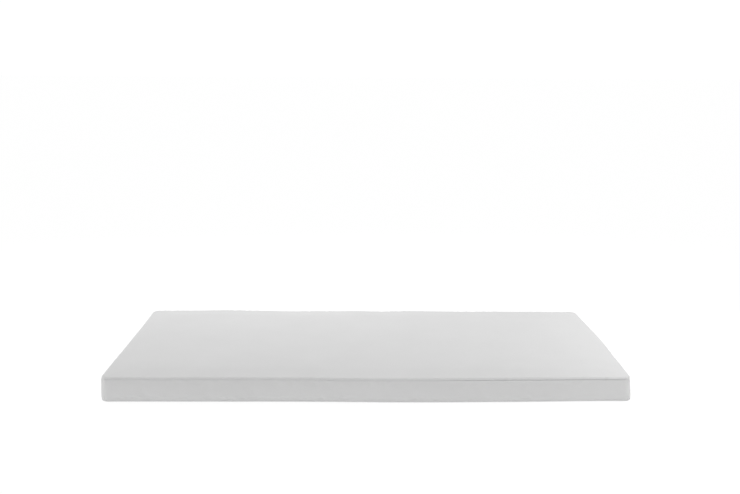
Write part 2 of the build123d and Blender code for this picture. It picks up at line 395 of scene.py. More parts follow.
def weld(points, quads):
    """Points and faces with the points that lie together made one, and the new place of each old point."""
    _, first, one = np.unique(np.round(points * 1e6), axis=0, return_index=True, return_inverse=True)
    return points[first], one.ravel()[quads], one.ravel()


def grid_piece(name, points, cloth, flip=False):
    """A mesh object from a grid of points, with its distances along the cloth."""
    rows, columns = points.shape[:2]
    return link_mesh(name, points.reshape(-1, 3), net(rows, columns, flip=flip), cloth.reshape(-1, 2))


top_line = Profile((ALLOWANCE, TOP_SEAM), (SEAM_DEEP, TOP_SEAM), (-0.0004, TOP_SEAM + 0.0014),
                   (0.0, TOP - 0.0040), (0.0032, TOP - 0.0012), (0.0115, TOP), (CORNER, TOP))
bottom_line = Profile((ALLOWANCE, BOTTOM_SEAM), (0.0014, BOTTOM_SEAM), (0.0, BOTTOM_SEAM - 0.0012),
                      (0.0002, 0.0), (0.0065, 0.0), (CORNER, 0.0))
wall_line = Profile((ALLOWANCE, TOP_SEAM), (SEAM_DEEP, TOP_SEAM), (0.0, TOP_SEAM - 0.0020),
                    (0.0, TOP_SEAM - 0.012), (0.0, BOTTOM_SEAM + 0.010), (0.0, BOTTOM_SEAM + 0.0014),
                    (0.0014, BOTTOM_SEAM), (ALLOWANCE, BOTTOM_SEAM))
cover = Slab(HALF_X, HALF_Y, CORNER, top_line.length)


def top_tightness(walked):
    """How far the top seam's groove is drawn shut, by the distance walked round the edge.

    It is one steady share, with a smooth-ended stretch added and another taken off.
    """
    front_left = rise(walked, 0.0, 0.06) * (1 - rise(walked, 0.85, 1.45))
    return (TOP_TIGHTNESS + FRONT_LEFT_SHUT * front_left
            - FRONT_RIGHT_OPEN * rise(walked, 1.2, 1.5) * (1 - rise(walked, 1.9, cover.long)))


def wall_points(walked, down, line):
    """The points of the border by the distance walked round it and the distance down its profile."""
    inset = drawn_shut(line.inset(down)[:, None], down[:, None], top_tightness(walked))
    inset = drawn_shut(inset, line.length - down[:, None], BOTTOM_TIGHTNESS)
    u, v = cover.edge_spot(walked)
    x, y = cover.spots(u + 0 * inset, v + 0 * inset, inset)
    return np.stack([x, y, line.height(down)[:, None] + 0 * x], -1)


# --- The cover filled out ---
# The foam core is a little fuller than the cover, so it pushes each panel out between the seams, where
# the cloth is held. A cloth simulation swells the closed cover, and the zip's tapes keep it flat there.
TOP_SWELL = 0.0030
WALL_SWELL = 0.0022
PRESSURE = 4.0
FRAMES = 20
SIM_GRID = 0.018
SIM_EDGE = (0, 0.005, 0.011, 0.018, 0.028, cover.fan)
SIM_ROWS = 10
ZIP_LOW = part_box("zip_panel_lower")[1].z
ZIP_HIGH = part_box("zip_panel_upper")[0].z
ZIP_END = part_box("zip_panel_upper")[1].x
ZIP_MID = (ZIP_LOW + ZIP_HIGH) / 2

sim_u, sim_v = cover.lines(SIM_EDGE, SIM_GRID)
sim_round = cover.edge_places(sim_u, sim_v)
sim_down = np.linspace(0, wall_line.length, SIM_ROWS)


def swelling():
    """How far the filling pushes each point of the coarse cover: top, bottom and border grids."""
    grid_u, grid_v = np.meshgrid(sim_u, sim_v)
    top = cover.points(grid_u, grid_v, top_line)
    bottom = cover.points(grid_u, grid_v, bottom_line)
    wall = wall_points(sim_round, sim_down, wall_line)
    grids = (top, bottom, wall)
    rows, columns = top.shape[:2]
    quads = np.vstack([net(rows, columns), net(rows, columns, flip=True, start=rows * columns),
                       net(*wall.shape[:2], True, True, start=2 * rows * columns)])
    rest, quads, welded = weld(np.vstack([grid.reshape(-1, 3) for grid in grids]), quads)
    bag = link_mesh("bag", rest, quads)
    behind = (rest[:, 1] > HALF_Y - ALLOWANCE) & (np.abs(rest[:, 0]) < ZIP_END)
    zip_band = behind & (np.abs(rest[:, 2] - ZIP_MID) < (ZIP_HIGH - ZIP_LOW) / 2 + ALLOWANCE)
    seams = (np.abs(rest[:, 2] - TOP_SEAM) < CLOTH / 4) | (np.abs(rest[:, 2] - BOTTOM_SEAM) < CLOTH / 4)
    held = bag.vertex_groups.new(name="held")
    held.add(np.flatnonzero(seams | zip_band).tolist(), 1.0, "REPLACE")
    cloth = bag.modifiers.new("cloth", "CLOTH")
    knit = cloth.settings
    knit.quality = 5
    knit.tension_stiffness = knit.compression_stiffness = 15.0
    knit.shear_stiffness = 5.0
    knit.bending_stiffness = 0.5
    knit.shrink_min = -0.012
    knit.use_pressure = True
    knit.uniform_pressure_force = PRESSURE
    knit.vertex_group_mass = "held"
    knit.effector_weights.gravity = 0.0
    cloth.point_cache.frame_start, cloth.point_cache.frame_end = 1, FRAMES
    for step in range(1, FRAMES + 1):
        bpy.context.scene.frame_set(step)
    filled = bag.evaluated_get(bpy.context.evaluated_depsgraph_get()).to_mesh()
    moved = np.zeros(rest.size, np.float32)
    filled.vertices.foreach_get("co", moved)
    shift = moved.reshape(-1, 3) - rest
    bpy.context.scene.frame_set(1)
    bpy.data.objects.remove(bag)
    far = np.linalg.norm(shift, axis=1, keepdims=True)
    most = np.where(rest[:, 2:] > TOP_SEAM, TOP_SWELL, WALL_SWELL)
    shift *= most * np.tanh(far / most) / np.maximum(far, 1e-9)
    parts = np.split(shift[welded], [rows * columns, 2 * rows * columns])
    return [part.reshape(grid.shape) for part, grid in zip(parts, grids)]


def blending(coarse, fine, total=None):
    """The cubic spline weights that carry values from coarse grid lines to fine ones.

    A total is the length of a closed walk, whose end meets its start.
    """
    lines = coarse if total is None else np.append(coarse, total)
    index = np.interp(fine if total is None else fine % total, lines, np.arange(len(lines)))
    whole = np.floor(index).astype(int)
    part = index - whole
    shares = [(1 - part) ** 3 / 6, (3 * part ** 3 - 6 * part ** 2 + 4) / 6,
              (-3 * part ** 3 + 3 * part ** 2 + 3 * part + 1) / 6, part ** 3 / 6]
    weights = np.zeros((len(fine), len(coarse)))
    for step, share in zip((-1, 0, 1, 2), shares):
        column = whole + step
        column = np.clip(column, 0, len(coarse) - 1) if total is None else column % len(coarse)
        np.add.at(weights, (np.arange(len(fine)), column), share)
    return weights


def carried(swell, down, across):
    """The swelling carried to finer grid lines, by their weights down and across."""
    return np.einsum("ij,jkc,lk->ilc", down, swell, across)


def wall_push(down, walked):
    """The border's swelling at those rows of its profile and those places round the edge."""
    return carried(wall_swell, blending(sim_down, down), blending(sim_round, walked, cover.girth))


top_swell, bottom_swell, wall_swell = swelling()


# --- The cover's unevenness ---
# Hand-sewn cloth over soft foam is never quite true: the seams pucker, the sides bow out a little
# between the corners, and the upper edge rises and falls by a few millimetres.
PUCKER = 0.0005
PUCKER_REACH = 0.024
PUCKER_WAVES = ((0.021, 0.3, 0.8), (0.029, 1.9, 0.8), (0.043, 4.1, 1.0), (0.071, 2.2, 0.9))
BACK_EDGE = ((-0.62, 0.30, 0.0036), (0.07, 0.12, -0.0014), (0.25, 0.16, 0.0018), (0.95, 0.2, -0.0012))
FRONT_EDGE = ((0.10, 0.50, -0.0030), (-0.45, 0.25, -0.0014), (-0.80, 0.40, -0.0022))
RIGHT_END = ((0.03, 0.42, 0.0120), (-0.30, 0.22, 0.0045))
FRONT_BOW = 0.0060
FRONT_RIGHT_IN = 0.0045
FRONT_RIGHT_IN_LOW = 0.0055
EDGE_DROOP = 0.0022
FLARE_LEFT = 0.0036
FLARE_RIGHT = 0.0105
SURFACE_WAVES = ((0.61, 0.4, 0.9, 0.0007), (0.43, 2.0, 2.3, 0.0006), (0.29, 1.1, 4.0, 0.0004),
                 (0.19, 2.7, 0.6, 0.00025), (0.83, 1.5, 5.1, 0.0009))


def puckers(along, seed):
    """Uneven small gathers along a seam: four sine waves whose strength comes and goes."""
    wave = sum(weight * np.sin(2 * math.pi * along / length + phase + seed)
               for length, phase, weight in PUCKER_WAVES)
    return wave * (0.55 + 0.45 * np.sin(2 * math.pi * along / 0.37 + seed * 1.7))


def gathered(near):
    """How much of the gathers shows that far from a seam: a smooth step up past its groove, then down."""
    return rise(near, 0.004, 0.009) * (1 - rise(near, 0.010, 0.010 + PUCKER_REACH))


def humps(x, places):
    """Several smooth hills added up, each given as its middle, its reach and its height."""
    return sum(height * hump(x, middle, reach) for middle, reach, height in places)


def settle(points):
    """Moves points of the mattress by its long bows and swells, which fade out at the floor and the zip.

    The top droops a little towards all its edges, the long edges rise and fall, the front and the right
    end bow out, and the front corners spread a little below the top seam.
    """
    x, y, z = points[..., 0], points[..., 1], points[..., 2]
    wander = sum(depth * np.sin(2 * math.pi * (x * math.cos(turn) + y * math.sin(turn)) / length + phase)
                 for length, turn, phase, depth in SURFACE_WAVES)
    lift = wander + rise(y, 0.25, 0.44) * humps(x, BACK_EDGE) + rise(y, -0.25, -0.44) * humps(x, FRONT_EDGE)
    lift -= EDGE_DROOP * np.maximum(rise(np.abs(y), 0.34, 0.44), rise(np.abs(x), 0.89, 0.99))
    low = 1 - rise(z, 0, 0.09)
    forward = rise(y, -0.25, -HALF_Y) * (
        FRONT_BOW * hump(x, 0.17, 0.5) - (FRONT_RIGHT_IN + FRONT_RIGHT_IN_LOW * low) * rise(x, 0.5, 0.95))
    outward = rise(x, 0.8, HALF_X) * humps(y, RIGHT_END)
    flare = np.where(x > 0, FLARE_RIGHT * (1 - rise(z, -0.02, 0.085)), -FLARE_LEFT * low)
    spread_out = flare * (1 - rise(y, 0.2, 0.4))
    return np.stack([x + outward + spread_out * rise(np.abs(x), 0.85, HALF_X), y - forward,
                     np.maximum(z + lift * rise(z, ZIP_MID, TOP), 0)], -1)


def round_the_edge(u, v):
    """The distance walked round the cover's edge to the nearest point of the seam."""
    sides = np.stack([v, cover.long - u, cover.wide - v, u])
    walked = np.stack([u, cover.long + v, 2 * cover.long + cover.wide - u,
                       cover.girth - v])
    return np.take_along_axis(walked, np.argmin(sides, 0)[None], 0)[0]


# --- The cover's cloth ---
# A fine, dense, off-white jersey with a soft brushed face. Each stitch is about a millimetre wide, so
# the cloth looks plain and matte from any distance.
WALE = 0.0013
COURSE = 0.0010
# The jersey's colour, and the darker one for its uneven dye and for the painted shade between its stitches.
JERSEY = (0.745, 0.745, 0.745)
JERSEY_DYE_AND_PAINTED_SHADE = (0.685, 0.685, 0.685)


def knit_finish(name, color, dark, wale, course):
    """A jersey: columns of small V stitches in relief, with slightly uneven dye and pile."""
    cloth = Finish(name)
    across, down = cloth.cloth_place()
    column = (across / wale).math("FRACT")
    lean = (column - 0.5).math("ABSOLUTE")
    ridge = column.wave(1.0).math("ABSOLUTE")
    stitch = (down / course + lean * 0.9).wave(1.0) * 0.35 + 0.65
    fuzz = cloth.noise(900.0, 4.0)
    patch = cloth.noise(7.0, 2.0)
    knit = ridge * stitch
    # Besides the uneven dye and pile, the colour is a little darker between the stitches, as painted shade.
    return cloth.surface(
        Base_Color=cloth.tint(patch * 0.55 + fuzz * 0.3 + knit * 0.15, dark, color),
        Roughness=fuzz * 0.08 + 0.84, Normal=cloth.relief(knit + fuzz * 0.8, 0.00012, 0.55),
        Sheen_Weight=0.25, Sheen_Roughness=0.45, Specular_IOR_Level=0.25)


cover_cloth = knit_finish("cover_jersey", JERSEY, JERSEY_DYE_AND_PAINTED_SHADE, WALE, COURSE)


def thicken(piece, depth):
    """Gives a cloth surface its thickness, on its inner side."""
    solid = piece.modifiers.new("thickness", "SOLIDIFY")
    solid.thickness = depth
    solid.offset = -1.0
    solid.use_even_offset = True
    return piece


def dress(piece, material, slot, *nodes, body="mattress"):
    """Finishes a piece: its material, the body it rides on, and the CAD nodes it stands for. The slot is
    not used.
    """
    piece.data.materials.append(material)
    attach(piece, body)
    if nodes:
        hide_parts(*nodes)
    return piece


# --- Top panel ---
# One piece of jersey that covers the sleeping surface, rolls over the foam's edge all round and turns in
# at the seam. The foam crowns it slightly.
NEAR_SEAM = (0, 0.002, 0.0033, 0.0042, 0.0051, 0.0062, 0.0074, 0.0087, 0.0101, 0.0116, 0.0133,
             0.0152, 0.0175, 0.0205, 0.0245, 0.030, cover.fan)
fine_u, fine_v = cover.lines(NEAR_SEAM, GRID)


def panel(name, line, tight, swell, pucker, seed, facing):
    """The finished top or bottom panel, as a fine grid that takes the coarse grid's swelling."""
    grid_u, grid_v = np.meshgrid(fine_u, fine_v)
    points = cover.points(grid_u, grid_v, line, tight(round_the_edge(grid_u, grid_v)))
    swelled = carried(swell, blending(sim_v, fine_v), blending(sim_u, fine_u))
    near_x = from_ends(grid_u, cover.long)
    near_y = from_ends(grid_v, cover.wide)
    ring = np.minimum(near_x, near_y)
    swelled[..., 2] *= rise(ring, 0.02, 0.12)
    points += swelled * rise(ring, *SEAM_HOLD)[..., None]
    gather = puckers(round_the_edge(grid_u, grid_v), seed) * rise(np.abs(near_x - near_y), 0, 0.05)
    points[..., 2] += facing * pucker * gather * gathered(ring)
    piece = grid_piece(name, settle(points), np.stack([grid_u, grid_v], -1), flip=facing < 0)
    return thicken(piece, CLOTH)


top_panel = panel("top_panel_cloth", top_line, top_tightness, top_swell, PUCKER, 0.0, 1)
dress(top_panel, cover_cloth, "cover_fabric", "top_panel")


# --- Bottom panel ---
# One piece of the same jersey on the underside, sewn to the border all round. It is flat where the
# mattress lies on it, and rolls up to its seam at the edges.
bottom_panel = panel("bottom_panel_cloth", bottom_line, lambda walked: BOTTOM_TIGHTNESS + 0 * walked,
                     bottom_swell, 0.0, 2.6, -1)
dress(bottom_panel, cover_cloth, "cover_fabric", "bottom_panel")


# --- Border ---
# One long strip of jersey round the front and both ends, sewn to the top and bottom panels. It goes
# round the back corners and turns in at the upright seams where the zip panels start.
WALL_ROW = 0.0065
SEAM_TURN = 0.0016
SEAM_TURN_REACH = 0.0030
NEAR_UPRIGHT = (0, 0.0006, 0.0014, 0.0024, 0.0036, 0.006)
WALL_PUCKER = 0.0006

back_stretch = cover.fan + HALF_X - CORNER - ZIP_END
back_lines = np.concatenate([NEAR_SEAM, np.arange(cover.fan + GRID, back_stretch - 0.008, GRID),
                             back_stretch - np.array(NEAR_UPRIGHT)])
border_round = np.unique(np.round(np.concatenate([
    -cover.wide - back_lines, fine_v - cover.wide, fine_u, cover.long + fine_v,
    cover.long + cover.wide + back_lines]), 7))
border_down = spread(wall_line.length, NEAR_SEAM[:13], WALL_ROW)


def turned_in(from_end):
    """How far cloth turns in beside an upright seam: a smooth step down, by the distance from the seam."""
    return SEAM_TURN * (1 - rise(from_end, 0, SEAM_TURN_REACH))


def unit(directions):
    """Each direction divided by its own length."""
    return directions / np.maximum(np.linalg.norm(directions, axis=-1, keepdims=True), 1e-9)


def towards_middle(points, depth):
    """Moves side wall points in by a depth, square to the wall, and square to the arc at a corner."""
    arc_x = np.clip(points[..., 0], CORNER - HALF_X, HALF_X - CORNER)
    arc_y = np.clip(points[..., 1], CORNER - HALF_Y, HALF_Y - CORNER)
    out = unit(np.stack([points[..., 0] - arc_x, points[..., 1] - arc_y], -1))
    moved = points.copy()
    moved[..., :2] -= out * depth[..., None]
    return moved


def wall_gathers(along, down, length, seed):
    """The puckers of a side strip, by the distances along and down it, shown past each of its seams."""
    upper = puckers(along, seed) * (down < length / 2)
    lower = puckers(along, seed + 2.1) * (down >= length / 2)
    return WALL_PUCKER * (upper + lower) * gathered(from_ends(down, length))


walk_grid, down_grid = np.meshgrid(border_round, border_down)
border_points = wall_points(border_round, border_down, wall_line)
border_points += (wall_push(border_down, border_round)
                  * rise(from_ends(down_grid, wall_line.length), *SEAM_HOLD)[..., None])
from_end = np.minimum(walk_grid - border_round[0], border_round[-1] - walk_grid)
gathers = wall_gathers(walk_grid, down_grid, wall_line.length, 1.3)
border_points = towards_middle(border_points, turned_in(from_end) - gathers)
border = grid_piece("border_cloth", settle(border_points), np.stack([walk_grid, down_grid], -1), flip=True)
thicken(border, CLOTH)
dress(border, cover_cloth, "cover_fabric", "border_strip")


# --- Zip panels ---
# Two narrow strips of jersey along the back, one above the zip and one below. Each is folded under
# beside the zip, and a row of stitches presses a shallow groove where it holds the tape.
HEM_CLOTH = 0.0009
HEM_BACK = 0.002
HEM_DEPTH = 0.007
ROW_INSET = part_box("zip_stitching")[1].z - ZIP_HIGH - 0.0004
GROOVE = 0.0004
GROOVE_HALF = 0.0011
ZIP_COLUMN = 0.005


def hem_line(seam, fold, towards):
    """A zip panel's profile, from its raw edge at the seam to its folded hem. Towards is 1 going down."""
    return Profile((ALLOWANCE, seam), (0.0019, seam), (0.0, seam - towards * 0.0018),
                   (0.0, seam - towards * 0.010), (0.0, fold + towards * 0.003), (0.0, fold),
                   (HEM_BACK, fold), (HEM_BACK, fold + towards * HEM_DEPTH))


def zip_panel(name, seam, fold, towards, seed):
    """One zip panel: its profile carried along the back, with gathers, a groove and turned-in ends.

    The groove is a bell curve of the height above or below the row of stitches.
    """
    line = hem_line(seam, fold, towards)
    outer = abs(seam - fold)
    rows = np.unique(np.concatenate([NEAR_SEAM[:12], np.arange(0.020, outer, 0.0045),
                                     np.arange(outer - 0.004, line.length - 0.006, 0.00045),
                                     [line.length - 0.003, line.length]]))
    rows = rows[rows <= line.length]
    columns = spread(2 * ZIP_END, NEAR_UPRIGHT, ZIP_COLUMN) - ZIP_END
    x, down = np.meshgrid(columns, rows)
    inset = line.inset(down)
    z = line.height(down)
    row_height = fold + towards * ROW_INSET
    face = inset < HEM_BACK / 2
    groove = GROOVE * np.exp(-((z - row_height) / GROOVE_HALF) ** 2) * face
    wave = puckers(x, seed) * (1 - rise(np.abs(z - row_height), 0.001, 0.016))
    near_seam = wall_gathers(x, np.minimum(down, outer / 2), line.length, seed + 0.8)
    swelled = wall_push(rows if towards > 0 else wall_line.length - rows,
                        cover.long + cover.wide + cover.long / 2 - columns)
    y = HALF_Y - inset - groove - turned_in(ZIP_END - np.abs(x)) + near_seam + 0.00022 * wave
    y += swelled[..., 1] * rise(np.minimum(down, outer - down), *SEAM_HOLD)
    points = np.stack([x, y, z + 0.0002 * wave * ~face], -1)
    points = settle(points)
    piece = grid_piece(name, points, np.stack([x, down], -1), flip=towards < 0)
    groove_row = points[np.argmin(np.abs(z[:, 0] - row_height) + ~face[:, 0])]
    return thicken(piece, HEM_CLOTH), groove_row


zip_panel_upper, upper_groove = zip_panel("zip_panel_upper_cloth", TOP_SEAM, ZIP_HIGH, 1, 0.7)
dress(zip_panel_upper, cover_cloth, "cover_fabric", "zip_panel_upper")
zip_panel_lower, lower_groove = zip_panel("zip_panel_lower_cloth", BOTTOM_SEAM, ZIP_LOW, -1, 3.9)
dress(zip_panel_lower, cover_cloth, "cover_fabric", "zip_panel_lower")


# --- Stitching ---
# Polyester sewing thread. Lockstitch holds the zip tapes in two long rows, and overlock stitches wrap
# the raw edges inside the two round seams and across the ends of the inner sleeve.
STITCH = 0.0027
STITCH_PITCH = 0.0033
STITCH_RADIUS = 0.00036
# The thread's colour, and a darker one for its fuzz and for the painted shade between its twists.
THREAD_COLOR = (0.72, 0.72, 0.71)
THREAD_FUZZ_AND_PAINTED_SHADE = (0.60, 0.60, 0.59)


def thread_finish():
    """Twisted sewing thread: fine slanted ridges in relief, with painted shade making it a little darker
    between them.
    """
    thread = Finish("sewing_thread")
    x, _, z = thread.split(thread.place())
    twist = (x + z * 0.8).wave(0.0005) * 0.5 + 0.5
    fuzz = thread.noise(2500.0)
    return thread.surface(Base_Color=thread.tint(twist * 0.6 + fuzz * 0.4, THREAD_FUZZ_AND_PAINTED_SHADE, THREAD_COLOR),
                          Roughness=fuzz * 0.2 + 0.5, Normal=thread.relief(twist + fuzz, 0.00006, 0.6),
                          Sheen_Weight=0.15)


thread_cloth = thread_finish()


def pill():
    """A closed bead of 24 faces: a cube cut in two each way and drawn out to a ball of radius 1."""
    side = np.stack(np.meshgrid([-1, 0, 1], [-1, 0, 1]), -1).reshape(-1, 2).astype(float)
    points, quads = [], []
    for axis in range(3):
        for end in (-1, 1):
            face = np.insert(side, axis, end, axis=1)
            quads.append(net(3, 3, flip=(end > 0) == (axis == 1), start=9 * len(points)))
            points.append(face)
    points, quads, _ = weld(np.vstack(points), np.vstack(quads))
    return unit(points), quads


def stitch_row(centres, size):
    """The points and faces of one bead at each centre, of that size from its middle each way."""
    bead, quads = pill()
    points = (centres[:, None, :] + bead * size).reshape(-1, 3)
    faces = (np.arange(len(centres))[:, None, None] * len(bead) + quads).reshape(-1, 4)
    return points, faces


def joined(*parts):
    """Several sets of points and faces as one."""
    starts = np.cumsum([0] + [len(points) for points, faces in parts[:-1]])
    return (np.vstack([points for points, faces in parts]),
            np.vstack([faces + start for (points, faces), start in zip(parts, starts)]))


def line_of(x, y, z):
    """Points from three coordinates, any of which may be one number."""
    return np.stack(np.broadcast_arrays(x, y, z), -1).astype(float)


stitch_x = np.arange(-ZIP_END + 0.003, ZIP_END - 0.002, STITCH_PITCH)
zip_rows = [stitch_row(
    line_of(stitch_x, np.interp(stitch_x, groove[:, 0], groove[:, 1]) + STITCH_RADIUS / 3,
            np.interp(stitch_x, groove[:, 0], groove[:, 2])),
    (STITCH / 2, STITCH_RADIUS, STITCH_RADIUS)) for groove in (upper_groove, lower_groove)]
zip_stitching = link_mesh("zip_lockstitch", *joined(*zip_rows))
dress(zip_stitching, thread_cloth, "thread", "zip_stitching")

# The overlocked edges of the two round seams: a thread casing bent round both raw edges.
OVERLOCK = 0.0004
overlock_round = cover.edge_places(fine_u, fine_v)


def overlock(name, seam, node):
    """A casing whose profile is a U lying round the raw edges, carried round the seam."""
    line = Profile((ALLOWANCE - 0.0016, seam + 0.0014), (ALLOWANCE, seam + 0.0015),
                   (ALLOWANCE + 0.0010, seam + 0.0012), (ALLOWANCE + 0.0010, seam - 0.0012),
                   (ALLOWANCE, seam - 0.0015), (ALLOWANCE - 0.0016, seam - 0.0014))
    points = wall_points(overlock_round, np.linspace(0, line.length, 9), line)
    bumps = 0.00012 * np.sin(2 * math.pi * overlock_round / 0.021)
    points[..., 2] += bumps
    rows, columns = points.shape[:2]
    casing = link_mesh(name, settle(points).reshape(-1, 3), net(rows, columns, closed=True))
    thicken(casing, OVERLOCK)
    dress(casing, thread_cloth, "thread", node)


overlock("top_seam_overlock", TOP_SEAM, "top_overlock")
overlock("bottom_seam_overlock", BOTTOM_SEAM, "bottom_overlock")
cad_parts["side_seam_threads"].data.materials.clear()
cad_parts["side_seam_threads"].data.materials.append(thread_cloth)


# --- Zip tapes ---
# Woven polyester tapes behind the zip panels, sewn in flat. Their inner edges stand about a millimetre
# apart, and part at the slider.
TAPE_LOW, TAPE_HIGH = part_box("zip_tape_upper")
SLIDER_LOW, SLIDER_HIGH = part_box("zip_slider")
SLIDER_MID = (SLIDER_LOW.x + SLIDER_HIGH.x) / 2
TAPE = TAPE_HIGH.y - TAPE_LOW.y
TAPE_GAP = TAPE_LOW.z - ZIP_MID
TAPE_OVERRUN = 0.0041
PARTING = 0.0013
PARTING_LENGTH = 0.003
STOP_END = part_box("zip_top_stops")[1].x
TAPE_REACH = TAPE_HIGH.x + TAPE_OVERRUN
SLIDE_LENGTH = 1.777
OPEN_KEEP = 0.9
OPEN_WIDE = 0.005
MOUTH_OPEN = 0.0017
OPEN_FROM = 0.885
# The tape's colour, and a darker one for its fuzz and for the painted shade between its threads.
TAPE_COLOR = (0.70, 0.70, 0.70)
TAPE_TONE_AND_PAINTED_SHADE = (0.55, 0.55, 0.55)


def weave_finish(name, color, dark, rib):
    """A close woven tape: two sets of threads over and under each other, on the piece's own map."""
    weave = Finish(name)
    along, across = weave.cloth_place()
    over = across.wave(rib) * (along + across).wave(rib * 1.3) * 0.5 + 0.5
    fuzz = weave.noise(1800.0)
    # The colour is darker where each thread goes under the other, as painted shade, with random fuzz
    # besides.
    return weave.surface(Base_Color=weave.tint(over * 0.6 + fuzz * 0.4, dark, color),
                         Roughness=fuzz * 0.15 + 0.62, Normal=weave.relief(over + fuzz * 0.4, 0.00009, 0.7),
                         Sheen_Weight=0.15, Specular_IOR_Level=0.35)


tape_cloth = weave_finish("woven_tape", TAPE_COLOR, TAPE_TONE_AND_PAINTED_SHADE, 0.0008)


def parted(x):
    """How far the slider's wedge holds one side of the zip from its closed place, along the zip.

    It steps out at the slider, and past the top stop the tape comes back.
    """
    return PARTING * (rise(x, SLIDER_MID, SLIDER_MID + PARTING_LENGTH)
                      - rise(x, STOP_END + 0.001, STOP_END + 0.014))


# Each side of the zip is three pieces end to end: a short closed one past the open slider, which stays,
# and two that meet in the middle, each with a mesh of its own.
CLOSED_END = SLIDER_MID - SLIDE_LENGTH + PARTING_LENGTH / 2
left_slope = (OPEN_WIDE - MOUTH_OPEN) / -CLOSED_END
ZIP_STRETCHES = (("closed_end", -TAPE_REACH, CLOSED_END, None),
                 ("left", CLOSED_END, 0.0,
                  (-left_slope / (1 - OPEN_KEEP), CLOSED_END - MOUTH_OPEN / left_slope)),
                 ("right", 0.0, TAPE_REACH, (OPEN_WIDE / OPEN_FROM / (1 - OPEN_KEEP), OPEN_FROM)))


def stretches(build, name, side, material, slot, node):
    """One side of the zip, built a stretch at a time."""
    for label, start, stop, lean in ZIP_STRETCHES:
        piece = build(f"{name}_{label}", side, start, stop)
        dress(piece, material, slot, node)
        if lean:
            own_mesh(piece)


def tape_stretch(name, side, start, stop):
    """A stretch of tape: an inner edge, lines of weave and an outer edge, carried along the zip."""
    columns = np.concatenate([np.arange(start, stop, 0.008), [stop],
                              np.linspace(SLIDER_MID - 0.004, TAPE_REACH, 40)])
    lines = np.linspace(0, TAPE_HIGH.z - TAPE_LOW.z, 8)
    x, across = np.meshgrid(np.unique(np.clip(columns, start, stop)), lines)
    edge = parted(x) * (1 - across / lines[-1])
    bead = 0.00015 * np.exp(-(across / 0.0012) ** 2)
    points = np.stack([x, TAPE_HIGH.y - bead, ZIP_MID + side * (TAPE_GAP + across + edge)], -1)
    return thicken(grid_piece(name, points, np.stack([x, across], -1), flip=side > 0), TAPE * 0.9)


for side, level in ((1, "upper"), (-1, "lower")):
    stretches(tape_stretch, f"zip_tape_{level}", side, tape_cloth, "zip_tape", f"zip_tape_{level}")


# --- Zip coils ---
# The teeth are one nylon wire on each side, wound into a flat coil and sewn to its tape. The heads of
# one coil's turns fit between those of the other.
COIL_LOW, COIL_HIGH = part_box("zip_teeth_upper")
COIL_PITCH = 0.0014
WIRE = 0.00035
COIL_HALF_WIDTH = 0.00115
COIL_HALF_DEPTH = 0.00057
COIL_HEAD = 0.00025
TURN_STEPS = 8
WIRE_SIDES = 5
NYLON = (0.76, 0.76, 0.75)
NYLON_SHADE = (0.70, 0.70, 0.69)


def nylon_finish():
    """Drawn nylon wire: smooth, with faint clouding and hairline scuffs from the slider."""
    nylon = Finish("nylon_coil")
    cloud = nylon.noise(220.0)
    scuff = nylon.noise(4000.0, 2.0)
    return nylon.surface(Base_Color=nylon.tint(cloud, NYLON_SHADE, NYLON), Roughness=scuff * 0.2 + 0.25,
                         Normal=nylon.relief(scuff, 0.00003, 0.4), Specular_IOR_Level=0.5)


nylon_wire = nylon_finish()


def coil_stretch(name, side, start, stop):
    """A stretch of coil: a flattened helix along X, with a five-sided wire round it.

    Its width and depth are a cosine and a sine of the turn. The wire's section is spanned by the line
    out from the coil's middle and the line square to that and to the wire.
    """
    start, stop = max(start, COIL_LOW.x), min(stop, COIL_HIGH.x)
    turns = int((stop - start) / COIL_PITCH)
    t = np.arange(turns * TURN_STEPS + 1) / TURN_STEPS
    angle = 2 * math.pi * t
    x = start + COIL_PITCH * (t + (0.25 if side > 0 else 0.75) * 0.5)
    middle = COIL_HALF_WIDTH + WIRE - COIL_HEAD + parted(x)
    centre = line_of(x, COIL_LOW.y + COIL_HALF_DEPTH + WIRE + 0.00004 + COIL_HALF_DEPTH * np.sin(angle),
                     ZIP_MID + side * (middle + COIL_HALF_WIDTH * np.cos(angle)))
    run = unit(np.gradient(centre, axis=0))
    out = line_of(0, np.sin(angle) / COIL_HALF_DEPTH, side * np.cos(angle) / COIL_HALF_WIDTH)
    out = unit(out - run * np.sum(out * run, axis=1, keepdims=True))
    beside = np.cross(run, out)
    ring = 2 * math.pi * np.arange(WIRE_SIDES) / WIRE_SIDES
    points = centre[:, None] + WIRE * (np.cos(ring)[:, None] * out[:, None]
                                       + np.sin(ring)[:, None] * beside[:, None])
    points[0] = centre[0]
    points[-1] = centre[-1]
    points, faces, _ = weld(points.reshape(-1, 3), net(len(t), WIRE_SIDES, closed=True))
    return link_mesh(name, points, faces)


for side, level in ((1, "upper"), (-1, "lower")):
    stretches(coil_stretch, f"zip_coil_{level}", side, nylon_wire, "zip_nylon", f"zip_teeth_{level}")


# --- Zip stops ---
# Small zinc clamps, squeezed on at the ends of the tapes so that the slider can't run off. They are cast
# and have a thin white lacquer. Their edges are rounded by the casting and worn a little bare.
EDGE_ROUND = 0.00028
LACQUER = (0.72, 0.72, 0.73)
BARE = (0.50, 0.50, 0.51)


def lacquer_finish():
    """White lacquer over zinc: a light orange-peel, fine scratches, and small rubbed spots of metal."""
    metal = Finish("lacquered_zinc")
    peel = metal.noise(1400.0, 2.0)
    scratch = metal.noise(5200.0, 5.0, 0.7)
    rubbed = metal.node("ShaderNodeMapRange", 0, None, {
        "Value": metal.noise(900.0, 4.0, 0.6), "From Min": 0.68, "From Max": 0.76})
    return metal.surface(Base_Color=metal.tint(rubbed, LACQUER, BARE), Metallic=rubbed * 0.8,
                         Roughness=scratch * 0.2 + 0.22, Coat_Weight=0.3, Coat_Roughness=0.15,
                         Normal=metal.relief(peel + scratch * 0.3, 0.00003, 0.5))


lacquered = lacquer_finish()


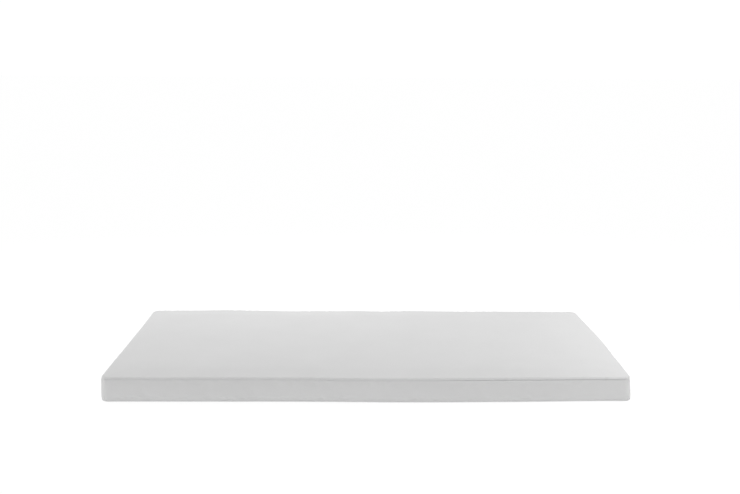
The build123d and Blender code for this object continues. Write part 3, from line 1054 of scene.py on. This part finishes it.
def cast_piece(name, node, body):
    """A copy of a CAD node with its loose triangles merged, its flats made whole and its edges rounded."""
    work = bmesh.new()
    work.from_mesh(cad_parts[node].data)
    bmesh.ops.remove_doubles(work, verts=work.verts, dist=1e-6)
    bmesh.ops.dissolve_limit(work, angle_limit=math.radians(2), verts=work.verts, edges=work.edges)
    mesh = bpy.data.meshes.new(name)
    work.to_mesh(mesh)
    work.free()
    piece = stand(name, mesh)
    rounding = piece.modifiers.new("rounding", "BEVEL")
    rounding.width = EDGE_ROUND
    rounding.segments = 3
    rounding.limit_method = "ANGLE"
    rounding.angle_limit = math.radians(35)
    rounding.harden_normals = True
    return dress(piece, lacquered, "zip_metal", node, body=body)


cast_piece("zip_top_stops_cast", "zip_top_stops", "mattress")
cast_piece("zip_bottom_stop_cast", "zip_bottom_stop", "mattress")


# --- Zip slider ---
# One lacquered zinc casting that runs along the two coils. The wedge inside it parts them or presses
# them together, and the bridge on its outside holds the tab's pin.
cast_piece("zip_slider_cast", "zip_slider", "zip_slider")


# --- Pull tab ---
# A flat tab of the same lacquered zinc, to draw the slider by. A round pin at its end turns in the
# slider's bridge, and it lies along the closed zip, with a shallow finger recess near its tip.
cast_piece("pull_tab_cast", "pull_tab", "pull_tab")


# --- Care label ---
# A blank ribbon of satin, sewn into the upright seam by one edge. It lies on the border and curls a
# little away from it towards its free end.
LABEL_LOW, LABEL_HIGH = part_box("care_label")
LABEL = 0.00025
LABEL_CURL = 0.0032
# The satin's colour, and a darker one for its fuzz and for the painted shade between its warp floats.
SATIN = (0.80, 0.80, 0.80)
SATIN_TONE_AND_PAINTED_SHADE = (0.70, 0.70, 0.70)


def satin_finish():
    """Woven satin: long fine warp floats down the ribbon, with a soft shine along them."""
    satin = Finish("label_satin")
    along = satin.cloth_place()[1]
    warp = along.wave(0.00035) * 0.5 + 0.5
    fuzz = satin.noise(1500.0)
    # The colour is lighter along the warp floats and darker between them, as painted shade, with random
    # fuzz besides.
    return satin.surface(Base_Color=satin.tint(warp * 0.5 + fuzz * 0.5, SATIN_TONE_AND_PAINTED_SHADE, SATIN),
                         Roughness=fuzz * 0.15 + 0.3, Normal=satin.relief(warp + fuzz * 0.5, 0.00004, 0.5),
                         Sheen_Weight=0.3)


LABEL_LONG = LABEL_HIGH.x - LABEL_LOW.x
LABEL_TALL = LABEL_HIGH.z - LABEL_LOW.z
label_out, label_up = np.meshgrid(np.linspace(0, LABEL_LONG, 25), np.linspace(0, LABEL_TALL, 25))
label_curl = (LABEL_CURL * (label_out / LABEL_LONG) ** 2.2
              * (0.7 + 0.5 * label_up / LABEL_TALL + 0.1 * np.sin(label_up / 0.011)))
label_root = SEAM_TURN * 1.1 * (1 - rise(label_out, 0, SEAM_TURN_REACH))
label_points = line_of(
    LABEL_HIGH.x - label_out,
    LABEL_LOW.y + 0.0006 + WALL_SWELL * rise(label_out, 0.002, 0.02) + label_curl - label_root,
    LABEL_LOW.z + label_up)
care_label = grid_piece("care_label_ribbon", settle(label_points), np.stack([label_out, label_up], -1))
thicken(care_label, LABEL)
dress(care_label, satin_finish(), "label_satin", "care_label")


# --- Inner sleeve ---
# A thin tube of ribbed stockinette pulled over the foam and sewn across each end. It stays on when the
# cover comes off for washing, and lies a little loose, with small wrinkles.
SLEEVE_LOW, SLEEVE_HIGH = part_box("inner_sleeve")
SLEEVE = 0.0009
SLEEVE_ROUND = 0.021
SLEEVE_RINGS = (0, 0.006, 0.012, 0.018, 0.024, 0.028, 0.032, 0.036, 0.040, 0.044, 0.048, 0.052, 0.058)
CROWN = 0.0016
WRINKLE = 0.0005
ARC_LOW = (-0.97, -0.42, 0.024)
ARC_HIGH = (0.97, 0.415, 0.076)
# The stockinette's colour, and a darker one for its fuzz and for the painted shade between its ribs.
STOCKINETTE = (0.74, 0.74, 0.73)
STOCKINETTE_FUZZ_AND_PAINTED_SHADE = (0.64, 0.64, 0.63)


def crowned(points):
    """Core points raised as the foam fills the cover, then settled with it.

    They rise by the crown, times a smooth step in from the sides and one up from the zip's height.
    """
    x, y, z = points[..., 0], points[..., 1], points[..., 2]
    inside = np.minimum(HALF_X - np.abs(x), HALF_Y - np.abs(y))
    raised = points.copy()
    raised[..., 2] += CROWN * rise(inside, 0.02, 0.15) * rise(z, ZIP_MID, TOP)
    return settle(raised)


def shoulder(corner, joint, level, edge_round):
    """A profile from the widest ring at the joint, up or down to the edge's round and in to the level."""
    towards = 1 if level > joint else -1
    return Profile((0.0, joint), (0.0, joint + towards * 0.002), (0.0, level - towards * edge_round * 0.45),
                   (edge_round * 0.45, level), (max(edge_round, 0.004), level), (corner, level))


def block(name, low, high, upper, lower, rings, step, ripple=None):
    """A closed core piece: an upper and a lower panel that are welded where they meet, at its widest.

    Upper and lower are each the joint's height, the panel's level and the round of its edge.
    """
    corner = CORNER - (HALF_X - high.x)
    lines = [shoulder(corner, *end) for end in (upper, lower)]
    slab = Slab(high.x, (high.y - low.y) / 2, corner, max(line.length for line in lines),
                y_mid=(high.y + low.y) / 2)
    edge = [ring for ring in rings if ring < slab.fan - 0.001] + [slab.fan]
    grid = np.meshgrid(*slab.lines(edge, step))
    panels = [slab.points(*grid, line) for line in lines]
    rows, columns = grid[0].shape
    quads = np.vstack([net(rows, columns), net(rows, columns, flip=True, start=rows * columns)])
    points, quads, _ = weld(np.vstack([part.reshape(-1, 3) for part in panels]), quads)
    return link_mesh(name, crowned(points if ripple is None else ripple(points)), quads)


def wrinkled(points):
    """Sleeve points pushed out, square to the nearest edge's round, by wrinkles: products of sines."""
    x, y, z = points.T
    out = unit(points - np.clip(points, ARC_LOW, ARC_HIGH))
    folds = (np.sin(61 * x + 9 * np.sin(7 * y)) * np.sin(43 * y + 5 * np.sin(11 * x))
             + 0.6 * np.sin(150 * x + 40 * z) * np.sin(37 * y + 60 * z))
    return points + out * (WRINKLE * (0.5 + 0.31 * folds))[:, None]


def foam_finish(name, color, dark, cell, roughness):
    """Open-cell foam: small round cells in relief, with painted shade darkening their hollows, and faint
    broad clouding.
    """
    foam = Finish(name)
    cells = foam.node("ShaderNodeTexVoronoi", "Distance", {"feature": "SMOOTH_F1"},
                      {"Vector": foam.place(), "Scale": 1 / cell})
    cloud = foam.noise(14.0)
    fine = foam.noise(1.5 / cell)
    return foam.surface(Base_Color=foam.tint(cells * 0.6 + cloud * 0.4, dark, color),
                        Roughness=fine * 0.1 + roughness, Specular_IOR_Level=0.2, Sheen_Weight=0.1,
                        Normal=foam.relief(cells + fine * 0.4, cell * 0.3, 0.8))


def stockinette_finish():
    """Thin ribbed knit: ribs along the length, small courses across them, and soft fuzz."""
    knit = Finish("stockinette")
    x, y, z = knit.split(knit.place())
    rib = (y + z).wave(0.0016) * 0.5 + 0.5
    course = x.wave(0.0011) * 0.25 + 0.75
    fuzz = knit.noise(1100.0)
    # The colour is darker between the ribs, as painted shade, with random fuzz besides.
    return knit.surface(Base_Color=knit.tint(rib * 0.4 + fuzz * 0.6, STOCKINETTE_FUZZ_AND_PAINTED_SHADE, STOCKINETTE),
                        Roughness=fuzz * 0.1 + 0.8, Normal=knit.relief(rib * course + fuzz, 0.00018, 0.6),
                        Sheen_Weight=0.2, Specular_IOR_Level=0.25)


sleeve = block("inner_sleeve_knit", SLEEVE_LOW, SLEEVE_HIGH, (ZIP_MID, SLEEVE_HIGH.z, SLEEVE_ROUND),
               (ZIP_MID, SLEEVE_LOW.z, SLEEVE_ROUND), SLEEVE_RINGS, 0.012, wrinkled)
thicken(sleeve, SLEEVE)
dress(sleeve, stockinette_finish(), "stockinette", "inner_sleeve")

# The sleeve's end seams: a row of overlock stitches across each end, inside the tube.
END_LOW, END_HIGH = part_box("sleeve_end_seams")
end_y = np.arange(END_LOW.y + 0.002, END_HIGH.y - 0.001, 0.0034)
end_rows = [stitch_row(crowned(line_of(end * (END_HIGH.x - 0.0004), end_y, ZIP_MID)),
                       (0.0004, 0.0016, 0.0008)) for end in (-1, 1)]
end_seams = link_mesh("sleeve_end_stitches", *joined(*end_rows))
dress(end_seams, thread_cloth, "thread", "sleeve_end_seams")


# --- Foam core ---
# A layer of slow-recovery memory foam glued on a thicker block of firmer foam. Both are cut from slabs,
# and the long edges are rounded together after gluing.
MEMORY_LOW, MEMORY_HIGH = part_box("memory_foam_layer")
SUPPORT_LOW, SUPPORT_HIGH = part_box("support_foam_core")
GLUE_LOW, GLUE_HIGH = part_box("glue_film")
FOAM_ROUND = SLEEVE_ROUND - 0.0012
FOAM_RINGS = (0, 0.004, 0.009, 0.0125, 0.0145, 0.0155, 0.0165, 0.0175, 0.020, 0.025, 0.030, 0.035, 0.040,
              0.046, 0.052, 0.058, 0.064, 0.070)
SEAM_PRESS = 0.0011
# Each foam's colour, and a darker one for its broad clouding and for the painted shade in its cells'
# hollows.
MEMORY_FOAM = (0.80, 0.78, 0.70)
MEMORY_FOAM_CLOUD_AND_PAINTED_SHADE = (0.66, 0.63, 0.54)
SUPPORT_FOAM = (0.78, 0.78, 0.76)
SUPPORT_FOAM_CLOUD_AND_PAINTED_SHADE = (0.62, 0.62, 0.60)
GLUE = (0.76, 0.72, 0.58)
GLUE_SHADE = (0.66, 0.61, 0.46)


def pressed(points):
    """Foam points with a shallow groove across each end, where the sleeve's end seam presses in.

    Its depth is a bell curve of the height from the seam.
    """
    x, y, z = points.T
    groove = (SEAM_PRESS * np.exp(-((z - ZIP_MID) / 0.0016) ** 2) * (np.abs(x) > SUPPORT_HIGH.x - 0.01)
              * (1 - rise(np.abs(y), END_HIGH.y, END_HIGH.y + 0.01)))
    return line_of(x - np.sign(x) * groove, y, z)


memory = block("memory_foam_slab", MEMORY_LOW, MEMORY_HIGH, (MEMORY_LOW.z, MEMORY_HIGH.z, FOAM_ROUND),
               (MEMORY_LOW.z, MEMORY_LOW.z - 1e-5, 0.0), FOAM_RINGS, 0.016)
dress(memory, foam_finish("memory_foam", MEMORY_FOAM, MEMORY_FOAM_CLOUD_AND_PAINTED_SHADE, 0.0011, 0.82), "memory_foam",
      "memory_foam_layer")
support = block("support_foam_block", SUPPORT_LOW, SUPPORT_HIGH,
                (SUPPORT_HIGH.z, SUPPORT_HIGH.z + 1e-5, 0.0), (SUPPORT_HIGH.z, SUPPORT_LOW.z, FOAM_ROUND),
                FOAM_RINGS, 0.016, pressed)
dress(support, foam_finish("support_foam", SUPPORT_FOAM, SUPPORT_FOAM_CLOUD_AND_PAINTED_SHADE, 0.0017, 0.86), "support_foam",
      "support_foam_core")

# The glue between the layers: a thin rolled-on film, slightly tacky and uneven in colour.
glue_mid = (GLUE_LOW.z + GLUE_HIGH.z) / 2
glue = block("glue_layer", GLUE_LOW, GLUE_HIGH, (glue_mid, GLUE_HIGH.z - 2e-5, 0.0),
             (glue_mid, GLUE_LOW.z + 2e-5, 0.0), (0, 0.004, 0.010, 0.018), 0.02)
film = Finish("foam_glue")
streak = film.noise(60.0, 4.0)
dress(glue, film.surface(Base_Color=film.tint(streak, GLUE_SHADE, GLUE), Roughness=streak * 0.2 + 0.35,
                         Normal=film.relief(streak, 0.0002, 0.5)), "glue", "glue_film")
